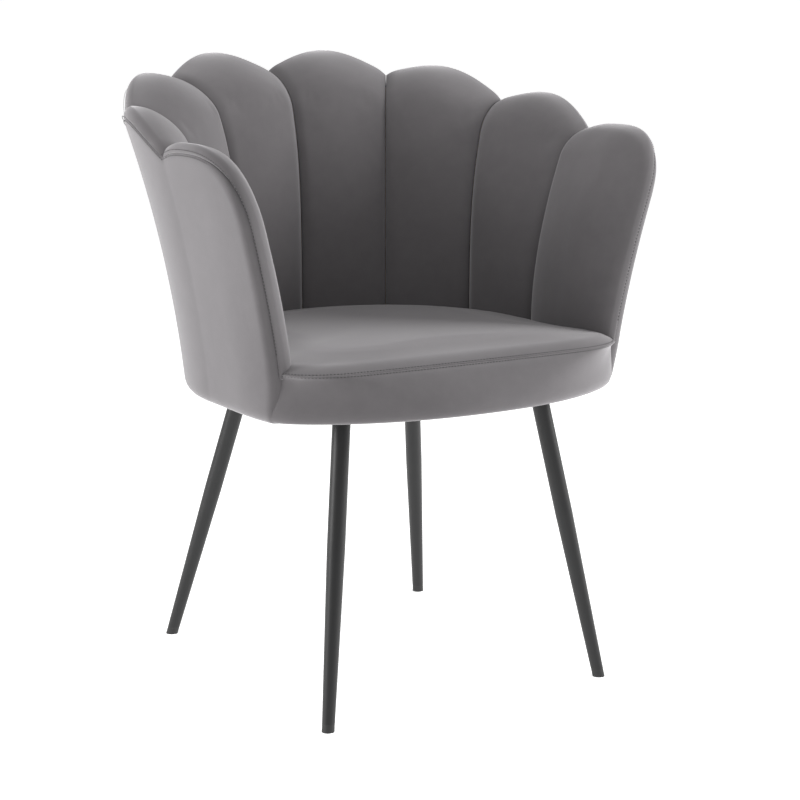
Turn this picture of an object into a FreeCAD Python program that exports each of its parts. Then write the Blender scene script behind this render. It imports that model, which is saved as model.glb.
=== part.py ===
import FreeCAD, Part
import math
import os
import Sketcher

from FreeCAD import Placement, Rotation, Vector

# Tub chair with a scalloped, channelled back on four splayed tapered legs.
# Millimetres. +Z is up, the front of the seat faces -Y, the origin is on the floor
# under the middle of the chair. Left and right are as seen from the front.
# Plan places are measured from the tub's upright axis, about which the back is round.

SIZES = {
    # outer face of the tub
    "base_height": (370.5, "underside of the seat board above the floor"),
    "outer_radius_low": (254.5, "outer face of the tub where its bottom rounding ends"),
    "outer_flare": (80.0, "how far the outer face leans out over the flare height"),
    "flare_height": (360.0, "height over which the outer face leans out"),
    "flare_lean": (5.7, "lean of the outer face where the flare begins, in degrees"),
    "foot_radius": (15.0, "rounding below the flare, down to the underside"),
    "foot_turn": (50.0, "how far that rounding turns, in degrees"),
    "front_reach": (240.0, "tub axis to the foremost point of the seat front"),
    "front_radius": (520.0, "plan radius of the seat front"),
    "corner_radius": (88.0, "plan radius of the front corners"),
    # scalloped crown
    "valley_back": (755.0, "height of the crown at the seam in the middle of the back"),
    "valley_side": (750.0, "height of the crown at the first seam to each side"),
    "valley_wing": (717.0, "height of the crown at the second seam"),
    "valley_arm": (684.0, "height of the crown at the seam where the arm begins"),
    "arch_back": (27.5, "rise of the back petal above its two valleys"),
    "arch_side": (23.5, "rise of the second petal"),
    "arch_wing": (24.5, "rise of the third petal"),
    "arm_crest_height": (694.0, "highest point of the arm petal"),
    "arm_straight": (90.0, "straight length of the arm in front of the tub axis"),
    "arm_curve_radius": (340.0, "plan radius of the arm's outer face beyond that"),
    "arm_turn": (14.2, "how far the arm curves inwards to its front edge, in degrees"),
    "arm_corner_height": (97.0, "height of the rounded corner of the arm"),
    "petal_angle": (31.0, "angle that each round petal spans"),
    "rim_drop": (22.0, "rim seam below the crown"),
    "crest_inset_back": (17.0, "crown line inboard of the outer face at the back"),
    "crest_inset_arm": (8.0, "crown line inboard of the outer face at the arm"),
    # inner face
    "seam_radius_back": (216.0, "inner seams from the tub axis at the seat, at the back"),
    "seam_radius_arm": (220.0, "the same where the arm begins"),
    "petal_bulge": (14.0, "how far a petal swells inwards from its seams"),
    "nose_thickness": (12.0, "wall left at the front edge of the arm"),
    # wall build-up, from the outside in
    "cover_thickness": (1.2, "upholstery fabric"),
    "outer_foam_thickness": (6.0, "foam sheet on the outside of the shell"),
    "shell_thickness": (8.0, "moulded plywood shell"),
    "shell_setback_turn": (2.6, "shell behind the front edge of the arm, in degrees"),
    "shell_play_turn": (0.1, "clearance in front of the shell's front edge, in degrees"),
    "soft_gap": (0.3, "clearance between parts laid together"),
    "rim_gap": (0.6, "shell, foam and outer cover below the petals at the rim"),
    "pad_gap": (0.8, "petal pad behind its cover"),
    "pad_depth": (20.0, "round petal pads reach below the seat surface"),
    # seat
    "board_thickness": (15.0, "plywood seat board"),
    "board_play": (1.0, "edge of the seat board clear of the shell"),
    "shell_lift": (9.5, "lower edge of the shell above the board's underside"),
    "seat_thickness": (66.5, "seat surface at its back edge, above the board's underside"),
    "seat_crown": (10.0, "rise of the middle of the seat"),
    "front_seam_drop": (7.0, "seam of seat top and front band, below the seat surface"),
    "front_edge_radius": (26.0, "rounding of the seat's front edge"),
    "front_foot_radius": (20.0, "rounding at the foot of the front band"),
    "seat_side_gap": (4.0, "seat clear of the arm petals"),
    "shoulder_setback": (2.0, "front band behind the start of the front corner"),
    "hem_width": (15.0, "fabric turned in under the board, round the back"),
    "front_hem": (30.0, "fabric turned in under the board, from the seat front"),
    "seam_gap": (0.3, "seat top and front band apart at their seam"),
    "dust_cover_inset": (21.0, "edge of the dust cover inside the body"),
    "window_play": (1.0, "dust cover clear of the leg plates"),
    "dust_cover_thickness": (0.6, "woven sheet under the seat"),
    # legs
    "leg_radius": (11.1, "upper part of the leg tube"),
    "leg_foot_radius": (7.7, "foot of the leg tube"),
    "leg_wall": (1.5, "wall of the leg tube"),
    "leg_taper_height": (211.0, "height where the tube begins to taper"),
    "front_foot_inset": (56.1, "front feet inboard of the tub's side"),
    "front_foot_setback": (34.2, "front feet behind the seat front"),
    "front_top_inset": (112.6, "front legs inboard of the tub's side where they meet the plate"),
    "front_top_setback": (97.6, "front legs behind the seat front where they meet the plate"),
    "rear_foot_inset": (57.5, "rear feet inboard of the tub's side"),
    "rear_foot_setback": (15.7, "rear feet inside the back of the tub"),
    "rear_top_inset": (127.6, "rear legs inboard of the tub's side where they meet the plate"),
    "rear_top_setback": (110.6, "rear legs inside the back of the tub where they meet the plate"),
    "glide_height": (10.0, "visible part of the glide"),
    "glide_plug": (16.0, "part of the glide inside the tube"),
    "plate_radius": (31.0, "mounting plate of a leg"),
    "plate_thickness": (3.0, "mounting plate of a leg"),
    # fasteners
    "bolt_radius": (3.0, "bolts of the leg plates"),
    "bolt_head_radius": (5.0, "heads of those bolts"),
    "bolt_head_height": (2.6, "heads of those bolts"),
    "bolt_circle_radius": (22.0, "bolts from the middle of the plate"),
    "bolt_play": (0.25, "clearance round a bolt"),
    "nut_barrel_radius": (4.2, "barrel of a tee nut"),
    "nut_flange_radius": (8.5, "flange of a tee nut"),
    "nut_flange_thickness": (1.5, "flange of a tee nut"),
    "nut_length": (10.0, "a tee nut from its flange down"),
    "bracket_width": (22.0, "shell bracket along the wall"),
    "bracket_leg": (24.0, "each leg of the shell bracket"),
    "bracket_thickness": (2.0, "steel of the shell bracket"),
    "screw_radius": (1.75, "shank of the bracket screws"),
    "screw_head_radius": (3.4, "heads of the bracket screws"),
    "screw_head_height": (1.6, "heads of the bracket screws"),
    "screw_length": (8.5, "shank of the bracket screws"),
    "screw_play": (0.1, "clearance round a screw"),
    "staple_width": (11.0, "crown of a staple"),
    "staple_wire": (0.8, "wire of a staple"),
    "staple_leg": (7.0, "legs of a staple"),
}

BRACKET_ANGLES = (-84.0, -62.0, -22.0, 22.0, 62.0, 84.0)
BOLTS_PER_PLATE = 4
STAPLES_PER_SIDE = 9
SIDES = {"left": -1, "right": 1}

# Section of the padded wall. Pairs hold the value at the back and the value at the arm.
LEAN_SHARE = (0.42, 0.6)  # part of the way out to the crown that is a steady lean
LEAN_POWER = (4.0, 1.8)  # how late up the wall that lean comes
ROLL_START = 0.85  # share of the height where the face begins to roll into the crown
RIM_MIDDLE = 0.72  # middle of the arc that runs from the crown down to the rim seam
FACE_SHARES = (0, 0.25, 0.5, 0.7, ROLL_START, 0.95, 1)  # points up the inner face
BACK_SHARES = (0, 0.25, 0.5, 0.75, 1)  # points down the back of a pad

# Stations along the petals
PETAL_STATIONS = 5
ARM_MIDDLE = (0.6, 0.8)  # along the straight part of the arm, and up to its crest by then
ARM_FRONT = ((0, 1.0, 0.1), (0.45, 0.8, 0.35), (0.7, 0.6, 0.6), (0.88, 0.3, 0.85), (0.98, 0, 1))
ARM_CORNER_FULLNESS = 2.5  # 2 would be an ellipse

doc = FreeCAD.newDocument("scallop_chair")
sheet = doc.addObject("Spreadsheet::Sheet", "sizes")
for row, (alias, (value, note)) in enumerate(SIZES.items(), start=1):
    sheet.set(f"A{row}", note)
    sheet.set(f"B{row}", str(value))
    sheet.setAlias(f"B{row}", alias)
doc.recompute()

size = {alias: float(sheet.get(alias)) for alias in SIZES}
parts = {}


def mix(first, second, share):
    return first + (second - first) * share


# Places worked out from the driving sizes
seat_height = size["base_height"] + size["seat_thickness"]
shell_bottom = size["base_height"] + size["shell_lift"]
pad_bottom = seat_height - size["pad_depth"]
front_seam_height = seat_height - size["front_seam_drop"]
flare_lean = math.radians(size["flare_lean"])
flare_chord = math.hypot(size["outer_flare"], size["flare_height"])
flare_turn = math.atan2(size["outer_flare"], size["flare_height"]) - flare_lean
cover_bottom = size["base_height"] - size["soft_gap"] - size["cover_thickness"]
foot_turn = flare_lean + math.radians(size["foot_turn"])
flare_start = cover_bottom + size["foot_radius"] * (math.sin(foot_turn) - math.sin(flare_lean))
flare_radius = flare_chord / (2 * math.sin(flare_turn))
flare_centre_z = flare_start - flare_radius * math.sin(flare_lean)
flare_centre_r = size["outer_radius_low"] + flare_radius * math.cos(flare_lean)
foot_centre_z = flare_start + size["foot_radius"] * math.sin(flare_lean)
foot_centre_r = size["outer_radius_low"] - size["foot_radius"] * math.cos(flare_lean)
crown_top = size["valley_back"]
outer_reach = size["outer_radius_low"] + size["outer_flare"]
tub_y = (size["front_reach"] - outer_reach) / 2
arm_angle = 3 * size["petal_angle"]
board_top = size["base_height"] + size["board_thickness"]
foam_inset = size["cover_thickness"] + size["soft_gap"]
shell_inset = foam_inset + size["outer_foam_thickness"] + size["soft_gap"]
pad_inset = shell_inset + size["shell_thickness"] + size["soft_gap"]
pad_face = size["cover_thickness"] + size["pad_gap"]
body_half_width = size["outer_radius_low"]
corner_x = body_half_width - size["corner_radius"]
front_centre_y = size["front_radius"] - size["front_reach"]
corner_y = front_centre_y - math.sqrt(
    (size["front_radius"] - size["corner_radius"]) ** 2 - corner_x ** 2)
shell_turn = size["arm_turn"] - size["shell_setback_turn"]
arm_axis_x = size["outer_radius_low"] - size["arm_curve_radius"]
far = 2 * outer_reach
high = 2 * crown_top


def keep(name, shape):
    """Add a finished shape to the document as the sub-part called name."""
    part = doc.addObject("Part::Feature", name)
    part.Label = name
    part.Shape = shape
    parts[name] = part


def outer_radius(height):
    """Outer face of the tub, from its axis, at a height: two tangent arcs."""
    if height < flare_start:
        above = foot_centre_z - height
        return foot_centre_r + math.sqrt(size["foot_radius"] ** 2 - above ** 2)
    above = height - flare_centre_z
    return flare_centre_r - math.sqrt(flare_radius ** 2 - above ** 2)


board_radius = (outer_radius(shell_bottom) - shell_inset - size["shell_thickness"]
                - size["board_play"])


def spline(points):
    curve = Part.BSplineCurve()
    curve.interpolate(points)
    return curve.toShape()


def segment(start, end):
    return Part.LineSegment(start, end).toShape()


def arm_top(turn):
    """Crown height of the arm where it has turned inwards by an angle."""
    share = min(1, turn / size["arm_turn"])
    fall = 1 - (1 - share ** ARM_CORNER_FULLNESS) ** (1 / ARM_CORNER_FULLNESS)
    return size["arm_crest_height"] - size["arm_corner_height"] * fall


class Station:
    """An upright plane across the wall, with the wall's outline in it."""

    def __init__(self, angle, top, arm_share, bulge, reach=0.0, axis_x=0.0, nose=0.0):
        self.angle = math.radians(angle)
        self.reach = reach
        self.axis_x = axis_x
        self.top = top
        self.arm_share = arm_share
        self.bulge = bulge
        self.nose = nose

    def point(self, radius, height):
        arm = radius - self.axis_x
        return Vector(self.axis_x + arm * math.sin(self.angle),
                      tub_y - self.reach + arm * math.cos(self.angle), height)

    def rim_height(self):
        return self.top - size["rim_drop"]

    def crest_radius(self):
        inset = mix(size["crest_inset_back"], size["crest_inset_arm"], self.arm_share)
        return outer_radius(self.rim_height()) - inset

    def inner_radius(self, height):
        """Inner face: upright at the seat, leaning out, then rolling into the crown."""
        share = (height - seat_height) / (self.top - seat_height)
        share = min(1, max(0, share))
        rolled = min(1, max(0, (share - ROLL_START) / (1 - ROLL_START)))
        lean = mix(*LEAN_SHARE, self.arm_share ** 2)
        power = mix(*LEAN_POWER, self.arm_share ** 2)
        flare = lean * share ** power + (1 - lean) * (1 - math.sqrt(1 - rolled ** 2))
        seat = mix(size["seam_radius_back"], size["seam_radius_arm"], self.arm_share ** 2)
        seat -= self.bulge * (1 - share ** 3)
        radius = seat + (self.crest_radius() - seat) * flare
        outer = min(outer_radius(height), outer_radius(self.rim_height()))
        thickness = outer - radius
        thinnest = min(thickness, size["nose_thickness"])
        return outer - mix(thickness, thinnest, self.nose)

    def inner_edge(self, inset, bottom):
        top = self.top - inset
        points = []
        for share in FACE_SHARES:
            height = mix(bottom, top, share)
            points.append(self.point(self.inner_radius(height + inset * share) + inset, height))
        return spline(points)

    def outer_point(self, inset, height):
        return self.point(outer_radius(height) - inset, height)

    def rim_edge(self, inset):
        """Crown line over to the rim seam on the outer side."""
        rim = self.rim_height()
        crest = self.inner_radius(self.top) + inset
        reach = outer_radius(rim) - inset
        middle = self.point(mix(crest, reach, RIM_MIDDLE), mix(rim, self.top - inset, RIM_MIDDLE))
        return Part.Arc(self.point(crest, self.top - inset), middle,
                        self.outer_point(inset, rim)).toShape()

    def back_edge(self, inset, bottom):
        """Back of a pad, from the rim down."""
        rim = self.rim_height()
        return spline([self.outer_point(inset, mix(rim, bottom, share)) for share in BACK_SHARES])

    def foot_edge(self, start_radius, inset, bottom):
        return segment(self.point(start_radius, bottom),
                       self.point(self.inner_radius(bottom) + inset, bottom))

    def pad_section(self, bottom):
        """Foam of a petal, which rests on the edge of the shell at the rim."""
        rim = self.rim_height()
        ledge = segment(self.outer_point(pad_face, rim), self.outer_point(pad_inset, rim))
        return Part.Wire([self.inner_edge(pad_face, bottom), self.rim_edge(pad_face), ledge,
                          self.back_edge(pad_inset, bottom),
                          self.foot_edge(outer_radius(bottom) - pad_inset, pad_face, bottom)])

    def full_section(self, bottom):
        """Foam of the arm through the whole wall, before the shell is let into it."""
        inset = pad_face + self.nose * size["pad_gap"]
        return Part.Wire([self.inner_edge(inset, bottom), self.rim_edge(inset),
                          self.back_edge(inset, bottom),
                          self.foot_edge(outer_radius(bottom) - inset, inset, bottom)])

    def cover_section(self, bottom):
        """Fabric over the inner face and the crown, down to the rim seam."""
        rim = self.rim_height()
        thickness = size["cover_thickness"]
        hem = segment(self.outer_point(0, rim), self.outer_point(thickness, rim))
        return Part.Wire([self.inner_edge(0, bottom), self.rim_edge(0), hem,
                          self.rim_edge(thickness), self.inner_edge(thickness, bottom),
                          self.foot_edge(self.inner_radius(bottom), thickness, bottom)])

    def crown_section(self, drop):
        """What lies above the crown, lowered by a drop."""
        low = self.top - drop
        near = size["seam_radius_back"] / 2
        corners = [self.point(near, low), self.point(far, low),
                   self.point(far, high), self.point(near, high)]
        return Part.makePolygon(corners + corners[:1])


def petal_stations(number, trim=0.0):
    """Stations of round petal 0, 1 or 2, counted from the middle of the back."""
    valleys = [size[f"valley_{name}"] for name in ("back", "side", "wing", "arm")]
    arch = [size[f"arch_{name}"] for name in ("back", "side", "wing")][number]
    stations = []
    for index in range(PETAL_STATIONS):
        share = index / (PETAL_STATIONS - 1)
        angle = size["petal_angle"] * (number + share)
        if index == 0:
            angle += trim
        if index == PETAL_STATIONS - 1:
            angle -= trim
        rise = arch * 4 * share * (1 - share)
        top = mix(valleys[number], valleys[number + 1], share) + rise
        bulge = size["petal_bulge"] * math.sin(math.pi * share)
        stations.append(Station(angle, top, angle / arm_angle, bulge))
    return stations


def arm_stations(trim=0.0):
    """Stations of the arm petal, from its seam to the front edge of the arm.

    ARM_FRONT gives, for each station in the turned part: its share of the turn, its share
    of the petal's bulge, and how far the wall has thinned towards the front edge.
    """
    bulge = size["petal_bulge"]
    along, risen = ARM_MIDDLE
    middle_top = mix(size["valley_arm"], size["arm_crest_height"], risen)
    stations = [Station(arm_angle + trim, size["valley_arm"], 1, 0),
                Station(90, middle_top, 1, risen * bulge, along * size["arm_straight"])]
    for share, swell, nose in ARM_FRONT:
        turn = share * size["arm_turn"]
        stations.append(Station(90 + turn, arm_top(turn), 1, swell * bulge,
                                size["arm_straight"], arm_axis_x, nose))
    return stations


def loft(sections):
    return Part.makeLoft(sections, True, False, False)


def mirrored(shape):
    return shape.mirror(Vector(0, 0, 0), Vector(1, 0, 0))


def crown_cutters(drop):
    """Solids above the scalloped crown on both sides, lowered by a drop."""
    cutters = [loft([station.crown_section(drop) for station in petal_stations(number)])
               for number in range(3)]
    stations = arm_stations()
    past_front = 90 + size["arm_turn"] + size["shell_setback_turn"]
    stations.append(Station(past_front, stations[-1].top, 1, 0, size["arm_straight"],
                            arm_axis_x, 1))
    cutters.append(loft([station.crown_section(drop) for station in stations]))
    return cutters + [mirrored(cutter) for cutter in cutters]


def face_arcs(inset, low, top):
    """Outer face of the tub drawn in by an inset, as arcs in the plane through the tub axis."""
    edges = []
    spans = [(low, top)] if low >= flare_start else [(low, flare_start), (flare_start, top)]
    for start, stop in spans:
        heights = (start, (start + stop) / 2, stop)
        edges.append(Part.Arc(*[Vector(outer_radius(height) - inset, tub_y, height)
                                for height in heights]).toShape())
    return edges


def wall_profile(outer_inset, inner_inset, bottom, hem=False):
    """Upright slice of a layer of the tub wall, in the plane through the tub axis."""
    top = crown_top + size["arch_back"] + size["rim_drop"]
    inner_bottom = bottom + (size["cover_thickness"] if hem else 0)
    outer_ends = [Vector(outer_radius(height) - outer_inset, tub_y, height)
                  for height in (bottom, top)]
    inner_ends = [Vector(outer_radius(height) - inner_inset, tub_y, height)
                  for height in (inner_bottom, top)]
    corners = [inner_ends[0], outer_ends[0]]
    if hem:
        end = outer_ends[0].x - size["hem_width"]
        corners = [inner_ends[0], Vector(end, tub_y, inner_bottom), Vector(end, tub_y, bottom),
                   outer_ends[0]]
    edges = face_arcs(outer_inset, bottom, top) + [segment(outer_ends[1], inner_ends[1])]
    edges += face_arcs(inner_inset, inner_bottom, top)
    edges += [segment(start, stop) for start, stop in zip(corners, corners[1:])]
    return Part.Face(Part.Wire(Part.__sortEdges__(edges)))


def box(low, top):
    return Part.makeBox(top[0] - low[0], top[1] - low[1], top[2] - low[2], Vector(*low))


def tub_layer(outer_inset, inner_inset, bottom, drop, turn, hem=False):
    """A layer of the tub wall: round at the back, then along the arms, which turn inwards."""
    profile = wall_profile(outer_inset, inner_inset, bottom, hem)
    upright = Vector(0, 0, 1)
    back = profile.revolve(Vector(0, tub_y, 0), upright, 180)
    arm = profile.extrude(Vector(0, -size["arm_straight"], 0))
    front = profile.translated(Vector(0, -size["arm_straight"], 0)).revolve(
        Vector(arm_axis_x, tub_y - size["arm_straight"], 0), upright, -turn)
    layer = back.fuse([arm, front, mirrored(arm), mirrored(front)]).removeSplitter()
    shoulder = tub_y + corner_y + size["shoulder_setback"] + size["soft_gap"]
    under_arm = box((-far, tub_y - far, 0), (far, shoulder, seat_height + size["soft_gap"]))
    return layer.cut(crown_cutters(drop) + [under_arm])


def outline(inset, back=None, side=None):
    """Plan outline: round back, straight sides and rounded front, or a narrower back part."""
    back = back or body_half_width - inset
    side = side or back
    half = body_half_width - inset
    corner = size["corner_radius"] - inset
    front = size["front_radius"] - inset
    lean = math.atan2(corner_x, front_centre_y - corner_y)
    start_y = tub_y + corner_y
    right = Vector(half, start_y, 0)
    front_y = tub_y + front_centre_y
    joint = Vector(front * math.sin(lean), front_y - front * math.cos(lean), 0)
    half_turn = (math.pi / 2 - lean) / 2 + lean
    middle = Vector(corner_x + corner * math.sin(half_turn),
                    start_y - corner * math.cos(half_turn), 0)
    nose = Vector(0, front_y - front, 0)
    left, left_joint, left_middle = (Vector(-p.x, p.y, 0) for p in (right, joint, middle))
    edges = [Part.Arc(Vector(side, tub_y, 0), Vector(0, tub_y + back, 0),
                      Vector(-side, tub_y, 0)).toShape()]
    shoulder_y = start_y + (size["shoulder_setback"] if side != half else 0)
    points = [Vector(-side, tub_y, 0), Vector(-side, shoulder_y, 0)]
    if side != half:
        points += [Vector(-half, shoulder_y, 0), left]
    edges += [segment(start, stop) for start, stop in zip(points, points[1:])]
    edges.append(Part.Arc(left, left_middle, left_joint).toShape())
    edges.append(Part.Arc(left_joint, nose, joint).toShape())
    edges.append(Part.Arc(joint, middle, right).toShape())
    edges += [segment(Vector(-stop.x, stop.y, 0), Vector(-start.x, start.y, 0))
              for start, stop in reversed(list(zip(points, points[1:])))]
    return Part.Face(Part.Wire(edges))


def slab(inset, low, top, back=None, side=None):
    face = outline(inset, back, side)
    face.translate(Vector(0, 0, low))
    return face.extrude(Vector(0, 0, top - low))


def pin(x, y, low, top, radius):
    return Part.makeCylinder(radius, top - low, Vector(x, y, low))


def leg_places():
    """Foot and top of each leg's axis, by the leg's name."""
    places = {}
    top_height = size["base_height"] - size["plate_thickness"]
    for row, side_y, edge in (("front", -1, size["front_reach"]), ("rear", 1, body_half_width)):
        for side, sign in SIDES.items():
            foot, top = (Vector(sign * (body_half_width - size[f"{row}_{end}_inset"]),
                                tub_y + side_y * (edge - size[f"{row}_{end}_setback"]), height)
                         for end, height in (("foot", 0), ("top", top_height)))
            places[f"{row}_{side}"] = (foot, top)
    return places


def bolt_places(top):
    """Bolts of a leg plate, on the bolt circle about the leg."""
    for index in range(BOLTS_PER_PLATE):
        turn = math.radians(45 + 360 * index / BOLTS_PER_PLATE)
        yield (top.x + size["bolt_circle_radius"] * math.cos(turn),
               top.y + size["bolt_circle_radius"] * math.sin(turn))


def bracket_frames():
    """Each shell bracket's place: its foot on the board at the shell's inner face."""
    reach = (outer_radius(board_top) - shell_inset - size["shell_thickness"]
             - 2 * size["soft_gap"])
    for angle in BRACKET_ANGLES:
        turn = math.radians(angle)
        centre = Vector(reach * math.sin(turn), tub_y + reach * math.cos(turn), board_top)
        yield Placement(centre, Rotation(Vector(0, 0, 1), -angle))


def staple_places():
    """Staples through the hem, round the back and along the sides."""
    radius = outer_radius(cover_bottom) - size["hem_width"] / 2
    step = 180 / (2 * STAPLES_PER_SIDE)
    for index in range(2 * STAPLES_PER_SIDE):
        angle = -90 + step * (index + 0.5)
        turn = math.radians(angle)
        centre = Vector(radius * math.sin(turn), tub_y + radius * math.cos(turn), cover_bottom)
        yield Placement(centre, Rotation(Vector(0, 0, 1), -angle))


def placed(shapes, placement):
    for shape in shapes:
        copy = shape.copy()
        copy.Placement = placement.multiply(copy.Placement)
        yield copy


def keep_pair(number, pad, cover):
    """Add a petal's pad and cover on the right, and their mirror images on the left."""
    for kind, shape in (("pad", pad), ("cover", cover)):
        keep(f"petal_{kind}_right_{number}", shape)
        keep(f"petal_{kind}_left_{number}", mirrored(shape))


def make_petals():
    trim = math.degrees(size["soft_gap"] / 2 / size["seam_radius_back"])
    for number in range(3):
        stations = petal_stations(number, trim)
        pad = loft([station.pad_section(pad_bottom) for station in stations])
        cover = loft([station.cover_section(pad_bottom) for station in stations])
        keep_pair(number + 1, pad, cover)
    stations = arm_stations(trim)
    bottom = seat_height + size["soft_gap"]
    shell_zone = tub_layer(-size["rim_drop"], pad_inset, shell_bottom,
                           size["rim_drop"], shell_turn + size["shell_play_turn"])
    rim_zone = tub_layer(-size["rim_drop"], shell_inset, shell_bottom,
                         size["rim_drop"] + size["rim_gap"] / 2,
                         ARM_FRONT[-1][0] * size["arm_turn"] + size["shell_play_turn"])
    pad = loft([station.full_section(bottom) for station in stations]).cut(shell_zone)
    cover = loft([station.cover_section(bottom) for station in stations]).cut(rim_zone)
    keep_pair(4, pad, cover)


def make_tub():
    shell_drop = size["rim_drop"] + size["rim_gap"]
    shell = tub_layer(shell_inset, shell_inset + size["shell_thickness"], shell_bottom,
                      shell_drop, shell_turn)
    keep("back_shell", shell.cut(screw_shanks(size["screw_play"], across=True)))
    foam = tub_layer(foam_inset, foam_inset + size["outer_foam_thickness"], shell_bottom,
                     shell_drop, shell_turn)
    keep("outer_foam", foam)
    cover = tub_layer(0, size["cover_thickness"], cover_bottom, shell_drop,
                      ARM_FRONT[-1][0] * size["arm_turn"], hem=True)
    keep("outer_cover", cover.cut(staple_slots()))


def same_place(edge, other):
    return (edge.CenterOfMass - other.CenterOfMass).Length < 0.01


def seat_body(inset, low):
    """The seat cushion, drawn in by an inset, from a low face up to its domed top."""
    top = seat_height - inset
    back = size["seam_radius_back"] - size["petal_bulge"] - size["soft_gap"] - inset
    side = size["seam_radius_arm"] - size["petal_bulge"] - size["seat_side_gap"] - inset
    body = slab(inset, low, top, back, side)
    front_end = tub_y + corner_y + size["shoulder_setback"]
    arcs = [edge for edge in body.Edges if edge.BoundBox.YMax < front_end
            and edge.BoundBox.ZLength < 1 and edge.Length > size["corner_radius"] / 2]
    upper = [edge for edge in arcs if edge.BoundBox.ZMin > top - 1]
    lower = [edge for edge in arcs if edge.BoundBox.ZMax < low + 1]
    body = body.makeFillet(size["front_edge_radius"] - inset, upper)
    lower = [edge for edge in body.Edges if any(same_place(edge, other) for other in lower)]
    body = body.makeFillet(size["front_foot_radius"] - inset, lower)
    base = back - size["seat_crown"]
    ball = (base ** 2 + size["seat_crown"] ** 2) / (2 * size["seat_crown"])
    centre = Vector(0, tub_y, top + size["seat_crown"] - ball)
    dome = Part.makeSphere(ball, centre).common(box((-far, -far, top - 1), (far, far, high)))
    return body.fuse(dome).removeSplitter()


def make_seat():
    board_inset = body_half_width - board_radius
    board = slab(board_inset, size["base_height"], board_top)
    keep("seat_board", board.cut(board_holes()))
    board_room = slab(board_inset - size["soft_gap"], size["base_height"] - size["soft_gap"],
                      board_top + size["soft_gap"])
    keep("seat_foam", seat_body(foam_inset, size["base_height"]).cut(board_room))
    inside = seat_body(size["cover_thickness"], cover_bottom + size["cover_thickness"])
    under_board = slab(size["front_hem"], 0, board_top)
    skin = seat_body(0, cover_bottom).cut([inside, board_room, under_board])
    front_end = tub_y + corner_y + size["shoulder_setback"]
    below_seam = box((-far, -far, 0), (far, front_end, front_seam_height))
    seam_gap = box((-far, -far, 0), (far, front_end, front_seam_height + size["seam_gap"]))
    keep("front_band", skin.common(below_seam).cut(staple_slots()))
    keep("seat_cover", skin.cut(seam_gap))
    top = cover_bottom - size["staple_wire"] - size["soft_gap"]
    sheet_bottom = top - size["dust_cover_thickness"]
    dust_cover = slab(size["dust_cover_inset"], sheet_bottom, top)
    windows = [pin(place.x, place.y, 0, board_top, size["plate_radius"] + size["window_play"])
               for foot, place in leg_places().values()]
    keep("dust_cover", dust_cover.cut(windows))


def board_holes():
    """Room in the board for the tee nuts, bolts, screws and staples."""
    holes = [staple_slots(), screw_shanks(size["screw_play"], across=False)]
    low = size["base_height"] - 1
    top = board_top + 1
    for foot, place in leg_places().values():
        for x, y in bolt_places(place):
            holes.append(pin(x, y, low, top, size["bolt_radius"] + size["bolt_play"]))
            holes.append(pin(x, y, board_top - size["nut_length"], top,
                             size["nut_barrel_radius"] + size["screw_play"]))
            holes.append(pin(x, y, board_top - size["nut_flange_thickness"], top,
                             size["nut_flange_radius"] + size["screw_play"]))
    return holes


def make_bolts():
    bolts = []
    nuts = []
    plate_bottom = size["base_height"] - size["plate_thickness"]
    for foot, place in leg_places().values():
        for x, y in bolt_places(place):
            head = pin(x, y, plate_bottom - size["bolt_head_height"], plate_bottom,
                       size["bolt_head_radius"])
            socket = pin(x, y, 0, plate_bottom - size["bolt_head_height"] / 2,
                         size["bolt_head_radius"] / 2)
            shank = pin(x, y, plate_bottom, board_top - size["soft_gap"], size["bolt_radius"])
            bolts.append(head.cut(socket).fuse(shank).removeSplitter())
            barrel = pin(x, y, board_top - size["nut_length"] + size["soft_gap"], board_top,
                         size["nut_barrel_radius"])
            flange = pin(x, y, board_top - size["nut_flange_thickness"], board_top,
                         size["nut_flange_radius"])
            thread = pin(x, y, 0, high, size["bolt_radius"] + size["screw_play"])
            nuts.append(barrel.fuse(flange).removeSplitter().cut(thread))
    keep("plate_bolts", Part.makeCompound(bolts))
    keep("tee_nuts", Part.makeCompound(nuts))


def bracket_screw_axes():
    """Start and direction of a bracket's two screws: down into the board, out into the shell."""
    middle = (size["bracket_leg"] + size["bracket_thickness"]) / 2
    return ((Vector(0, -middle, size["bracket_thickness"]), Vector(0, 0, -1)),
            (Vector(0, -size["bracket_thickness"], middle), Vector(0, 1, 0)))


def screw_shanks(play, across):
    """Shanks of the bracket screws with clearance, for the pilot holes."""
    start, direction = bracket_screw_axes()[int(across)]
    shank = Part.makeCylinder(size["screw_radius"] + play, size["screw_length"] + play,
                              start, direction)
    return Part.makeCompound([hole for frame in bracket_frames() for hole in placed([shank], frame)])


def make_brackets():
    leg = size["bracket_leg"]
    thickness = size["bracket_thickness"]
    half = size["bracket_width"] / 2
    brackets = []
    screws = []
    angle = box((-half, -leg, 0), (half, 0, leg)).cut(
        box((-far, -far, thickness), (far, -thickness, far)))
    screw_pair = []
    for start, direction in bracket_screw_axes():
        angle = angle.cut(Part.makeCylinder(size["screw_radius"] + size["screw_play"],
                                            2 * thickness, start, direction))
        shank = Part.makeCylinder(size["screw_radius"], size["screw_length"], start, direction)
        head = Part.makeCylinder(size["screw_head_radius"], size["screw_head_height"],
                                 start, -direction)
        screw_pair.append(shank.fuse(head).removeSplitter())
    for frame in bracket_frames():
        brackets += placed([angle], frame)
        screws += placed(screw_pair, frame)
    keep("shell_brackets", Part.makeCompound(brackets))
    keep("bracket_screws", Part.makeCompound(screws))


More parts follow.
